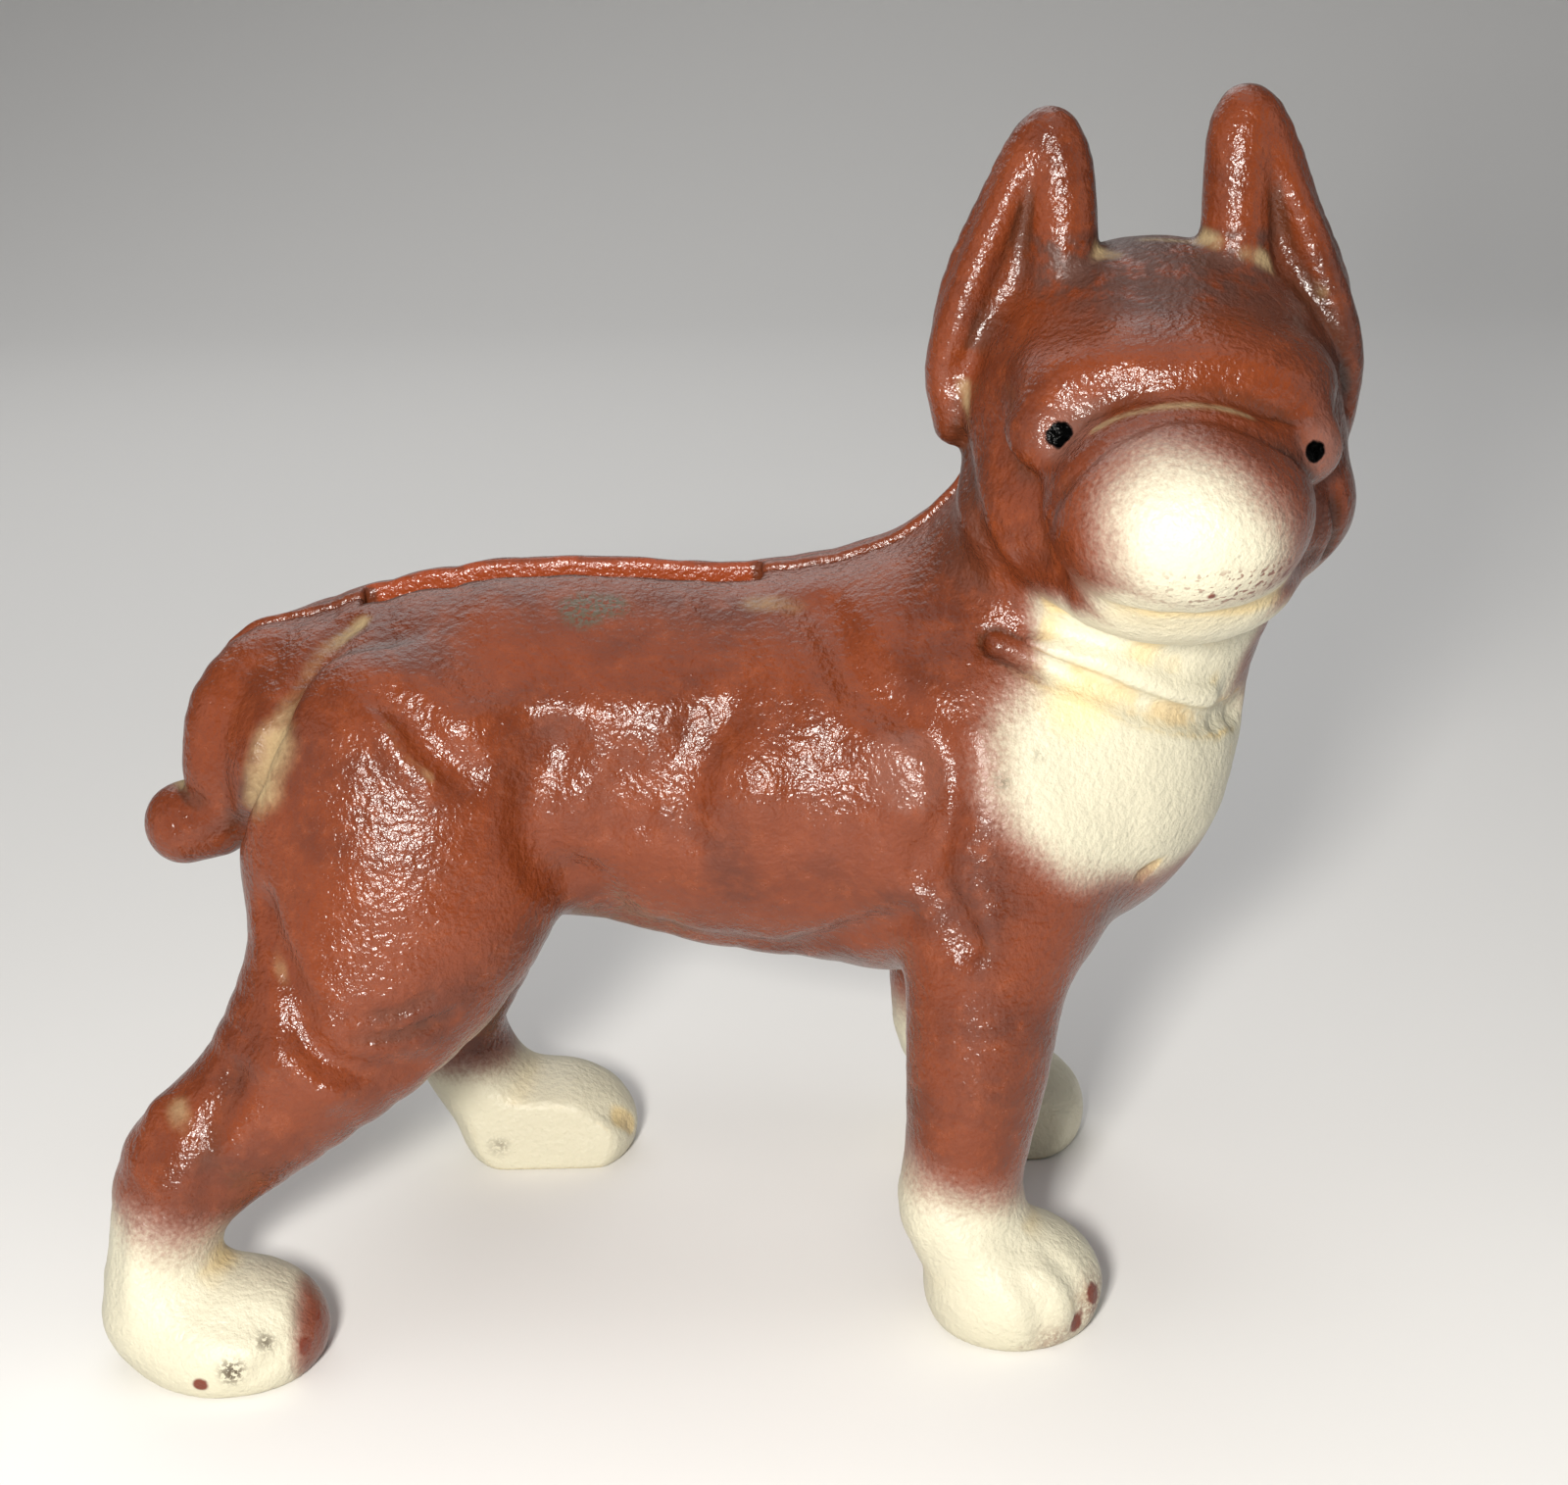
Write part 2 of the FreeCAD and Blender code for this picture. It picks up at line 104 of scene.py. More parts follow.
# Strokes of the carver's gouge: a path over the skin (y counted from the middle plane), width, depth.
# A positive depth cuts a groove, a negative one raises a ridge.
BODY_STROKES = [
    ([(-5, 19.5, 68.5), (-7, 20.5, 65.5), (-9, 21, 62), (-10, 21, 58.5)], 1.7, 0.8),
    ([(-1.5, 19.5, 69.5), (-4.3, 21.5, 65), (-5.5, 22, 61.5), (-5, 22.3, 57)], 1.8, 1.3),
    ([(-11.5, 20, 64.5), (-13.5, 20.5, 61.5), (-14, 20.5, 58)], 2.0, 0.8),
    ([(-19, 19.5, 66.5), (-21.5, 21, 63), (-22, 21.5, 58.5), (-21, 20.5, 54), (-18, 18, 51)], 2.8, 1.9),
    ([(-26, 20, 70), (-22, 19.5, 72), (-15, 19, 71), (-9, 19, 71.5)], 3.0, -0.7),
    ([(-36, 21, 73), (-34, 21.5, 71.5), (-31.5, 23, 68), (-28, 23.5, 65.5)], 1.8, 1.5),
    ([(-37.5, 22, 71.5), (-34.8, 24, 67.5), (-32, 24.5, 64.5)], 1.4, -0.8),
    ([(-28, 23, 72), (-24.5, 22, 73.5)], 2.4, -0.8),
    ([(-17, 18, 51.5), (-15, 17, 49), (-12.5, 12.5, 44), (-4, 14, 41.5), (5.5, 15, 41), (14, 22.5, 46)],
     2.0, 1.2),
    ([(19, 26.5, 56), (21.5, 27, 51.5), (24, 28, 47)], 1.8, 1.3),
    ([(17.5, 24.5, 49), (12, 20, 45), (7, 17, 42)], 1.6, 1.0),
    ([(9, 10.5, 79.5), (11.5, 17, 75.5), (14, 20, 72.5), (17.5, 22.5, 70.5)], 2.4, 1.9),
    ([(20.5, 24.5, 69.5), (22.3, 25.5, 66), (22.2, 26.5, 61.5), (20.7, 26.5, 57), (19, 26.5, 54)], 1.7, 1.4),
    ([(16, 23.6, 69.5), (18, 24.6, 66), (18, 25.4, 62)], 2.6, -0.9),
    ([(10, 22.6, 71), (9.5, 23.4, 66.5)], 1.4, 0.6),
    ([(25.5, 25.5, 69), (26.5, 26, 60), (25, 27, 54)], 2.2, -0.7),
    ([(-50.5, 23, 51), (-49.5, 25.5, 48), (-48, 27.5, 45.5), (-46.5, 29.5, 42.5), (-46, 30.5, 39),
      (-43.5, 31, 36), (-39.5, 30, 34.5), (-34, 28, 33.5)], 1.6, 1.7),
    ([(-40, 30.5, 41), (-36.5, 29.5, 41), (-33, 28.5, 42.5)], 0.9, 0.7),
    ([(-40.5, 30.5, 38.5), (-36, 29, 38.5), (-31, 27, 39.5)], 0.9, 0.7),
    ([(-49, 31, 36.5), (-44, 31, 33)], 2.6, -1.4),
    ([(-53.5, 29, 34), (-56, 30.5, 30), (-57, 31, 25)], 2.0, 0.9),
    ([(-62.5, 27, 29), (-62.5, 29, 25)], 2.2, -1.2),
    ([(-56, 33, 22), (-53, 32.5, 20.5), (-54.5, 33, 16)], 2.4, 1.3),
    ([(-65.5, 33.5, 18), (-66, 34.5, 10)], 1.6, -0.6),
    ([(-61, 36, 13), (-56, 36.8, 10), (-51, 36, 8.5)], 2.0, 1.3),
    ([(-52, 38, 3.5), (-48.5, 35.5, 6), (-47.8, 31, 8)], 1.1, 0.8),
    ([(26, 29, 50), (25, 30, 45)], 2.3, -0.8),
    ([(21.5, 29.6, 17), (26, 30.6, 14), (29.5, 29.5, 12.5)], 1.8, 1.2),
    ([(28.5, 31.6, 10.8), (31.5, 32.4, 7), (32, 32.3, 2)], 1.3, 1.4),
    ([(33, 28, 10.7), (35.7, 29, 7.5), (36.6, 29.4, 3)], 1.1, 1.2),
    ([(19.5, 25.5, 17), (19.2, 26.5, 13.5)], 2.0, -0.6),
    ([(-20.5, 12.6, 9.6), (-17.5, 15.5, 7.5), (-15.4, 19, 4)], 1.2, 0.8),
]
# The deep fold under the collar, and the strokes of the head (y signed here: the face is on the right).
COLLAR = [(27.5, -17.8, 76.5), (31, -19.6, 75.6), (34.5, -20.8, 74.2), (38.5, -21, 72.6), (42.5, -20.6, 70.5),
          (46, -19, 69), (50, -15.4, 67.3), (55, -7.5, 65.8)]
HEAD_STROKES = [
    ([(30.5, -33, 93), (31.8, -35, 96.5), (33.8, -36.5, 100), (37, -36.5, 103), (42, -35.5, 105.2),
      (47.5, -35.5, 105), (52.5, -35.5, 102.5), (56.5, -32.5, 98.5), (58.5, -28, 93)], 1.1, 1.0),
    ([(27, -22, 101.5), (29, -25, 97.5), (30.8, -28, 93.5), (32, -30, 88.5), (32.5, -28, 84.5)], 1.4, 1.3),
    ([(27, -18, 86), (31, -27, 85.2), (34, -34, 85.4), (39, -38.5, 86.3), (43.5, -40, 86.6), (48, -39, 86.4),
      (53, -35, 86), (57, -29, 86.5), (60, -20, 88)], 1.0, 0.35),
    ([(30.5, -19, 79.3), (36, -22.5, 78.3), (41, -25.5, 79), (47, -26, 79.3), (52, -22, 78.5)], 1.7, 1.1),
    (COLLAR, 1.25, 2.6),
    ([(30.5, -20.5, 78), (38, -22, 75.6), (45.5, -20.8, 72), (50, -17, 70.3)], 1.7, -1.5),
    ([(24.5, -10, 96.5), (25.3, -17.5, 91), (27, -19, 86), (29.5, -19.5, 80.5)], 1.7, 1.2),
    ([(27.8, -22, 88), (29.5, -23, 84)], 1.3, -0.6),
    ([(31, -26, 105.2), (35, -28, 108), (39.5, -29.5, 109.6), (44, -29, 108.2), (49, -29.5, 109.4),
      (54, -28.5, 107.2), (59, -26, 102.8)], 3.0, -1.0),
    ([(33, -22, 112), (44, -24, 114.5), (55, -22, 112)], 2.5, 0.6),
    ([(60.5, -24, 98), (61.8, -20.5, 93), (61, -19, 87)], 1.2, 1.1),
    ([(54.5, -30.5, 102.3), (58, -29.3, 102), (60, -26.5, 99.5)], 1.2, -0.7),
    ([(31, -29, 98.6), (34, -31.5, 98.8)], 1.1, -0.5),
    ([(33, -20.8, 81.5), (36.5, -23, 80.3), (40, -25, 81.5)], 0.9, 0.5),
    ([(40, -23.6, 77.3), (43.5, -23.5, 75), (47.5, -21.8, 76.2), (50.5, -18.5, 73.6)], 0.8, 0.6),
    ([(44, -22.5, 73.5), (48, -19.8, 72.3), (51, -16.5, 72)], 0.7, 0.5),
    ([(49, -14, 75), (52.5, -12.5, 72.5), (54, -8.5, 71)], 0.8, 0.5),
    ([(-42, -7, 78), (-45, -10.5, 76.2), (-47.3, -14.5, 73), (-48.6, -17, 69), (-50.5, -17.5, 64),
      (-52.5, -15.5, 58), (-53, -12, 54)], 1.7, 2.4),
    ([(-51.5, -6.5, 72), (-54.5, -9, 68)], 1.1, 0.6),
    ([(-59.4, -4, 59.6), (-59.6, -7, 59.2), (-58.8, -10, 58.5)], 1.5, 0.7),
    ([(62.8, -11.5, 103), (64.6, -11.5, 100.5)], 1.2, 0.9),
    ([(24.8, -11.8, 105), (22.6, -11.8, 103.4)], 1.3, 1.3),
]
# Locks of fur on the chest: both ends of each, as pairs of x, of y and of z.
CHEST_FUR = [((49.2, 53.6), (13.5, 8.0), (60.0, 65.5)), ((46.5, 52.6), (16.0, 9.5), (55.5, 62.0)),
             ((43.0, 49.8), (18.5, 12.0), (51.0, 57.0)), ((47.5, 53.5), (16.5, 10.0), (62.0, 68.0)),
             ((44.5, 50.5), (18.5, 13.0), (57.5, 61.5))]


def spline(stations, per_span):
    """Points and radii along a Catmull-Rom curve through the stations."""
    s = np.array(stations, float)
    ends = np.vstack([2 * s[0] - s[1], s, 2 * s[-1] - s[-2]])
    t = np.linspace(0, 1, per_span, endpoint=False)[:, None]
    spans = []
    for a, b, c, d in zip(ends, ends[1:], ends[2:], ends[3:]):
        spans.append(0.5 * (2 * b + (c - a) * t + (2 * a - 5 * b + 4 * c - d) * t ** 2
                            + (3 * b - a - 3 * c + d) * t ** 3))
    return np.vstack(spans + [s[-1:]]).astype(np.float32)


def near(p, low, high, measure):
    """measure(p) inside the box low..high, and a far distance outside it, where it isn't needed."""
    inside = np.all((p > low[:, None]) & (p < high[:, None]), axis=0)
    d = np.full(p.shape[1], OUTSIDE, np.float32)
    if inside.any():
        d[inside] = measure(p[:, inside])
    return d


def oval(offset, radii):
    """Signed distance, to first order, from an ellipsoid: k(k - 1) over the length of k's gradient, where
    k is the length of offset / radii."""
    scaled = offset / radii
    k = np.sqrt((scaled ** 2).sum(0))
    slope = np.sqrt(((scaled / radii) ** 2).sum(0)) + 1e-9
    return np.where(k < 0.3, (k - 1) * radii.min(0), k * (k - 1) / slope)


def limb(p, stations, margin=9.0, per_span=3):
    """Distance from an oval section carried along a curve: nearest point of the curve, then the oval
    there."""
    path = spline(stations, per_span)
    path[:, 3:] = np.maximum(path[:, 3:], 0.3)
    reach = path[:, 3:].max(1, keepdims=True) + margin

    def measure(q):
        best = np.full(q.shape[1], OUTSIDE, np.float32)
        for a, b in zip(path, path[1:]):
            along = b - a
            t = np.clip(along[:3] @ (q - a[:3, None]) / max(along[:3] @ along[:3], 1e-9), 0, 1)
            fore = a[3] + t * along[3]
            offset = q - (a[:3, None] + t * along[:3, None])
            best = np.minimum(best, oval(offset, np.stack([fore, a[4] + t * along[4], fore])))
        return best

    return near(p, (path[:, :3] - reach).min(0), (path[:, :3] + reach).max(0), measure)


def lump(p, middle, radii, tilt=0.0, margin=9.0):
    """Distance from an ellipsoid tilted about y."""
    middle = np.array(middle, np.float32)
    c, s = math.cos(math.radians(tilt)), math.sin(math.radians(tilt))
    turn = np.array([[c, 0, -s], [0, 1, 0], [s, 0, c]], np.float32)
    radii = np.array(radii, np.float32)[:, None]
    reach = radii.max() + margin
    return near(p, middle - reach, middle + reach, lambda q: oval(turn @ (q - middle[:, None]), radii))


def join(a, b, blend):
    """Union of two fields with a fillet about half as large as blend."""
    h = np.maximum(blend - np.abs(a - b), 0) / blend
    return np.minimum(a, b) - h * h * h * (blend / 6)


def trim(a, b, blend):
    """Intersection of two fields with a rounded edge."""
    return -join(-a, -b, blend)


def stroke(p, path, width):
    """How strongly a gouge stroke acts: a bell curve of the distance from its path."""
    path = np.array(path, np.float32)

    def measure(q):
        best = np.full(q.shape[1], OUTSIDE ** 2, np.float32)
        for a, b in zip(path, path[1:]):
            along = b - a
            from_a = q - a[:, None]
            t = np.clip(along @ from_a / (along @ along), 0, 1)
            best = np.minimum(best, ((from_a - t * along[:, None]) ** 2).sum(0))
        return np.sqrt(best)

    reach = 2.4 * width
    d = near(p, path.min(0) - reach, path.max(0) + reach, measure)
    return np.exp(-(d / width) ** 2)


def smooth(low, high, x):
    """0 at low, 1 at high, smooth in between."""
    t = np.clip((x - low) / (high - low), 0, 1)
    return t * t * (3 - 2 * t)


def mirrored(shape, side, wall=0.0):
    """A shared lump on one side, side -1 the right and +1 the left, less a wall."""
    (x, y, z), radii, tilt = shape
    return (x, y * side, z), tuple(radius - wall for radius in radii), tilt


def ear(p, side):
    """One pricked ear, side -1 the rear one and +1 the front one."""
    q = np.stack([(p[0] - EAR_X) * side, p[1], p[2]])
    rise = EAR_RISE if side > 0 else 0.0
    parts = []
    for stations in (EAR_RIDGE, EAR_BLADE, EAR_RIM):
        raised = [(x, y, z + rise * (z > 124), a, b) for x, y, z, a, b in stations]
        parts.append(limb(q, raised, 6.0))
    return join(join(parts[0], parts[1], 2.0), parts[2], 1.6)


def leg(p, stations, paw, paw_radii, side, inner, forward=0.0):
    """A solid leg and paw, flat on the side that faces the other leg."""
    q = np.stack([p[0], p[1] * side, p[2]])
    shifted = np.stack([q[0] - forward * smooth(24, 8, q[2]), q[1], q[2]])
    d = join(limb(shifted, stations, 8.0), lump(shifted, paw, paw_radii), 3.5)
    return trim(d, inner - q[1], 0.8)


def head(p):
    """Skull, cheeks, brow, muzzle, lower jaw, eye bulges and ears."""
    x = HEAD_X
    d = lump(p, *SKULL)
    d = join(d, lump(p, (x, -13, 90.5), (20.8, 15, 11.5)), 5)
    d = join(d, lump(p, (x + 0.6, -20, 104.5), (16.5, 10, 8.5)), 4)
    d = join(d, lump(p, (x - 0.2, -30.5, 94.8), (13.4, 16.5, 10.6)), 2.5)
    d = join(d, lump(p, (x + 0.3, -23.5, 85.8), (12.6, 13.0, 6.6)), 6)
    for side in (-1, 1):
        d = join(d, lump(p, (x + 12.3 * side, -24.5, 99.8 - side), (4.6, 5, 4)), 3)
        d = join(d, ear(p, side), 2.5)
    return d


def pattern(p):
    """The whole dog as the pattern maker carved it, without any hollow."""
    d = limb(p, TRUNK, 10.0, 2)
    d = join(d, lump(p, *CHEST), 6)
    d = join(d, limb(p, NECK, 10.0), 9)
    for side in (-1, 1):
        d = join(d, lump(p, *mirrored(HAUNCH, side)), 5)
        d = join(d, lump(p, *mirrored(SHOULDER, side)), 5)
        d = join(d, lump(p, (2.5, 14 * side, 62), (8.5, 10.0, 8)), 3)
    d = join(d, limb(p, TAIL, 6.0), 2)
    d = join(d, leg(p, FORELEG, *FORE_PAW, -1, 12.5), 5)
    d = join(d, leg(p, FORELEG, *FORE_PAW, 1, 14.5, LEFT_LEG_FORWARD), 5)
    d = join(d, leg(p, RIGHT_HIND, (-56.8, 28.3, 3.6), HIND_PAW_SIZE, -1, 14), 5)
    d = join(d, leg(p, LEFT_HIND, (-25, 21.5, 3.4), HIND_PAW_SIZE, 1, 14.5), 5)
    d = join(d, head(p), 5)
    left_paw = LEFT_LEG_FORWARD * smooth(24, 8, p[2]) * (p[1] > 0) * (p[0] > 0)
    left_hock = 50 * smooth(46, 40, p[2]) * smooth(-22, -26, p[0]) * (p[1] > 0)
    folded = np.stack([p[0] - left_paw, np.abs(p[1]) + left_hock, p[2]]).astype(np.float32)
    for path, width, depth in BODY_STROKES:
        d = d + depth * stroke(folded, path, width)
    for path, width, depth in HEAD_STROKES:
        d = d + depth * stroke(p, path, width)
    for xs, ys, zs in CHEST_FUR:
        d = d + 0.8 * stroke(folded, list(zip(xs, ys, zs)), 0.9)
    return trim(d, -p[2], 0.9)


def hollow(p):
    """The space inside, where the sand core was: trunk, neck, chest and skull less one wall."""
    trunk, neck = [[(x, y, z, fore - WALL, across - WALL) for x, y, z, fore, across in stations]
                   for stations in (TRUNK[1:-1], NECK)]
    d = limb(p, trunk, 10.0, 2)
    d = join(d, limb(p, neck, 10.0), 3)
    for shape in (CHEST, SKULL):
        d = join(d, lump(p, *mirrored(shape, 1, WALL)), 3)
    for side in (-1, 1):
        for shape in (HAUNCH, SHOULDER):
            d = join(d, lump(p, *mirrored(shape, side, WALL)), 3)
    return d


def rod(p, x, z, radius):
    """Distance from an endless round bar along y."""
    return np.hypot(p[0] - x, p[2] - z) - radius


BOSS_RADIUS = 7.0
TAPPED_RADIUS, TAPPED_DEPTH = 2.46, 16.0              # blind bore in the right half's boss
CLEARANCE_RADIUS = 2.75                               # hole through the left half's boss
COUNTERBORE_RADIUS, SCREW_SEAT_Y = 4.6, 20.5          # recess for the screw's head, and its floor
BORE_EDGE = 0.3                                       # rounding of machined edges
LUGS = ((47.6, 62.0, 4.2), (-43.0, 69.0, 4.2))        # register lugs: x, z, radius
LUG_DEPTH = 9.0
PEG_RADIUS = 2.0
PEG_LENGTH = 2.0
PEG_CLEARANCE = 0.25
SLOT = (-41.0, 3.0, 2.4, 68.0)                        # start, end, half width, floor
SEAM_GAP = 0.04
EDGE = 0.8                                            # rounding of the parting edges


def casting(p, side):
    """One half: side -1 is the right half, +1 the left."""
    y = p[1] * side
    skin = pattern(p)
    if side > 0:
        skin = skin - MISMATCH * smooth(60, 76, p[2]) * smooth(9, 3, y) * smooth(112, 100, p[2])
    space = trim(hollow(p), -rod(p, *BOSS, BOSS_RADIUS), 2.0)
    for x, z, radius in LUGS:
        space = trim(space, -np.maximum(rod(p, x, z, radius), y - LUG_DEPTH), 1.5)
    d = trim(skin, -space, 0.5)
    start, end, half_width, floor = SLOT
    along = np.abs(p[0] - (start + end) / 2) - (end - start) / 2
    slot = np.maximum(np.maximum(along, y - half_width), floor - p[2])
    d = trim(d, -slot, 0.7)
    d = trim(d, SEAM_GAP - y, EDGE)
    if side < 0:
        d = trim(d, -np.maximum(rod(p, *BOSS, TAPPED_RADIUS), y - TAPPED_DEPTH), BORE_EDGE)
        for x, z, _ in LUGS:
            d = join(d, np.maximum(rod(p, x, z, PEG_RADIUS), np.abs(y) - PEG_LENGTH), BORE_EDGE)
    else:
        d = trim(d, -rod(p, *BOSS, CLEARANCE_RADIUS), BORE_EDGE)
        d = trim(d, -np.maximum(rod(p, *BOSS, COUNTERBORE_RADIUS), SCREW_SEAT_Y - y), BORE_EDGE)
        for x, z, _ in LUGS:
            socket = np.maximum(rod(p, x, z, PEG_RADIUS + PEG_CLEARANCE), y - PEG_LENGTH - PEG_CLEARANCE)
            d = trim(d, -socket, BORE_EDGE)
    return d


def worked_out(field, points):
    """field at the rows of points, in blocks of neighbours shared among the processors."""
    columns = np.ascontiguousarray(points.T, np.float32)
    blocks = np.array_split(columns, max(1, len(points) // 2500), axis=1)
    with ThreadPoolExecutor() as workers:
        return np.concatenate(list(workers.map(field, blocks)))


def surface_net(field, low, high, step):
    """Quads over a field's zero surface: one vertex in each cell that the surface crosses, at the mean of
    its crossings of the cell's edges. Grids four and two times as coarse first find the cells worth
    measuring."""
    low = np.array(low, float)
    count = np.ceil((np.array(high) - low) / (4 * step)).astype(int) + 1
    value = worked_out(field, (low + 4 * step * np.argwhere(np.ones(count, bool)))).reshape(count)
    for spacing in (2, 1):
        finer = 2 * count - 1
        index = np.ix_(*[(np.arange(n) + 1) // 2 for n in finer])
        value = value[index]
        worth = np.argwhere(np.abs(value) < 1.25 * 2 * spacing * step)
        value = np.where(value > 0, OUTSIDE, -OUTSIDE).astype(np.float32)
        value[tuple(worth.T)] = worked_out(field, low + worth * (spacing * step))
        count = finer
    inside = value < 0
    filled = sum(inside[i:count[0] - 1 + i, j:count[1] - 1 + j, k:count[2] - 1 + k].astype(np.int8)
                 for i in (0, 1) for j in (0, 1) for k in (0, 1))
    cell = np.argwhere((filled > 0) & (filled < 8))
    number = np.full(tuple(count - 1), -1, np.int64)
    number[tuple(cell.T)] = np.arange(len(cell))
    total = np.zeros((len(cell), 3))
    crossings = np.zeros(len(cell))
    for axis in range(3):
        one, other = [k for k in range(3) if k != axis]
        for i in (0, 1):
            for j in (0, 1):
                a = cell.copy()
                a[:, one] += i
                a[:, other] += j
                b = a.copy()
                b[:, axis] += 1
                va, vb = value[tuple(a.T)], value[tuple(b.T)]
                cross = (va < 0) != (vb < 0)
                spot = a.astype(float)
                spot[:, axis] += np.where(cross, va / (va - vb + 1e-12), 0)
                total[cross] += spot[cross]
                crossings[cross] += 1
    vertices = low + total / crossings[:, None] * step
    quads = []
    for axis, (one, other) in enumerate(((1, 2), (2, 0), (0, 1))):
        below = np.take(inside, np.arange(count[axis] - 1), axis)
        above = np.take(inside, np.arange(1, count[axis]), axis)
        edge = np.argwhere(below != above)
        ring = []
        for i, j in ((0, 0), (-1, 0), (-1, -1), (0, -1)):
            around = edge.copy()
            around[:, one] += i
            around[:, other] += j
            ring.append(number[tuple(around.T)])
        ring = np.stack(ring, 1)
        leaving = below[tuple(edge.T)]
        ring[~leaving] = ring[~leaving][:, ::-1]
        quads.append(ring)
    return vertices, np.vstack(quads)


CORNERS = np.array([(1, 1, 1), (1, -1, -1), (-1, 1, -1), (-1, -1, 1)], float)


def settled(field, v, rounds=1, reach=0.1):
    """Vertices moved onto the zero surface, and their normals: each round is a Newton step, with the
    field's value and gradient taken from the four corners of a small tetrahedron round the vertex."""
    for _ in range(rounds):
        around = [worked_out(field, v + reach * corner) for corner in CORNERS]
        slope = sum(d[:, None] * corner for d, corner in zip(around, CORNERS)) / (4 * reach)
        steep = np.maximum((slope ** 2).sum(1), 0.25)
        v = v - np.clip(sum(around) / 4 / steep, -0.4, 0.4)[:, None] * slope
    return v, slope / np.linalg.norm(slope, axis=1, keepdims=True)


def grain(p, cell, seed):
    """Smooth random lumps of about one cell's size, from -1 to 1: a lattice of random values, blended."""
    low = p.min(0) - cell
    size = tuple(np.ceil((p.max(0) - low) / cell).astype(int) + 2)
    lattice = np.random.default_rng(seed).uniform(-1, 1, size)
    at = (p - low) / cell
    base = np.floor(at).astype(int)
    t = at - base
    t = t * t * (3 - 2 * t)
    value = np.zeros(len(p))
    for i in (0, 1):
        for j in (0, 1):
            for k in (0, 1):
                weight = np.abs(1 - i - t[:, 0]) * np.abs(1 - j - t[:, 1]) * np.abs(1 - k - t[:, 2])
                value += weight * lattice[base[:, 0] + i, base[:, 1] + j, base[:, 2] + k]
    return value


def mesh_object(name, vertices, faces, layers=None):
    """A mesh object at the origin, its vertices in millimetres from the parting origin."""
    mesh = bpy.data.meshes.new(name)
    mesh.vertices.add(len(vertices))
    mesh.vertices.foreach_set("co", (vertices * MM + PARTING_ORIGIN).astype(np.float32).ravel())
    mesh.loops.add(faces.size)
    mesh.loops.foreach_set("vertex_index", faces.ravel().astype(np.int32))
    mesh.polygons.add(len(faces))
    mesh.polygons.foreach_set("loop_start", np.arange(0, faces.size, faces.shape[1], dtype=np.int32))
    mesh.polygons.foreach_set("use_smooth", np.ones(len(faces), bool))
    for layer, values in (layers or {}).items():
        attribute = mesh.attributes.new(layer, "FLOAT", "POINT")
        attribute.data.foreach_set("value", values.astype(np.float32))
    mesh.update()
    mesh.validate()
    piece = bpy.data.objects.new(name, mesh)
    bpy.context.scene.collection.objects.link(piece)
    return piece


def cream_paint(p):
    """How much cream lies on the brown, 0 to 1: muzzle, throat, bib and the four feet, all sprayed soft.
    Each is a distance from the middle of the spray in units of its half sizes, faded over a wide edge."""
    x, y, z = p.T
    drift = grain(p, 3.5, 11) * 0.5 + grain(p, 8.0, 12) * 0.5
    face = smooth(-10, -17, y)
    tilted = z - 94.0 + 0.25 * (x - 45)
    muzzle = np.sqrt(((x - 44.6) / 11.0) ** 2 + ((y + 45) / 15.0) ** 2 + (tilted / 10.5) ** 2)
    muzzle = smooth(1.45, 0.22, muzzle + 0.08 * drift) * face
    lips = smooth(93.5, 86, z + 0.9 * drift) * smooth(-28, -36, y) * smooth(31, 38.5, x + drift)
    jaw = smooth(87, 82, z + drift) * smooth(66, 70, z) * smooth(28.5, 34.5, x + 0.8 * drift)
    jaw = jaw * smooth(-8, -16, y)
    bib = np.sqrt(((x - 43.0) / 20.5) ** 2 + ((z - 62.5 + 0.25 * (x - 43)) / 15.0) ** 2)
    bib = smooth(1.16, 0.48, bib + 0.08 * drift) * smooth(1, 12, -y + 0.9 * np.maximum(x - 38, 0))
    left_bib = smooth(0.9, 0.4, np.sqrt(((x - 46) / 12.0) ** 2 + ((z - 64) / 13.0) ** 2)) * smooth(20, 8, y)
    bib = np.maximum(bib, left_bib)
    front = smooth(25, 11, z + 1.5 * drift + 0.25 * (x - 25)) * (x > 0)
    hind = smooth(24.5, 9.5, z + 1.5 * drift + 0.35 * (x + 60)) * (x < -40) * (y < 0)
    far_hind = smooth(18.5, 9.5, z + drift) * (x < 0) * (y > 0)
    amount = np.clip(np.maximum.reduce([muzzle, lips, jaw, bib, front, hind, far_hind]), 0, 1)
    toe = smooth(-50.5, -47.5, x) * (x < -40) * (y < 0) * smooth(12, 9, z)
    return amount * (1 - 0.75 * toe)


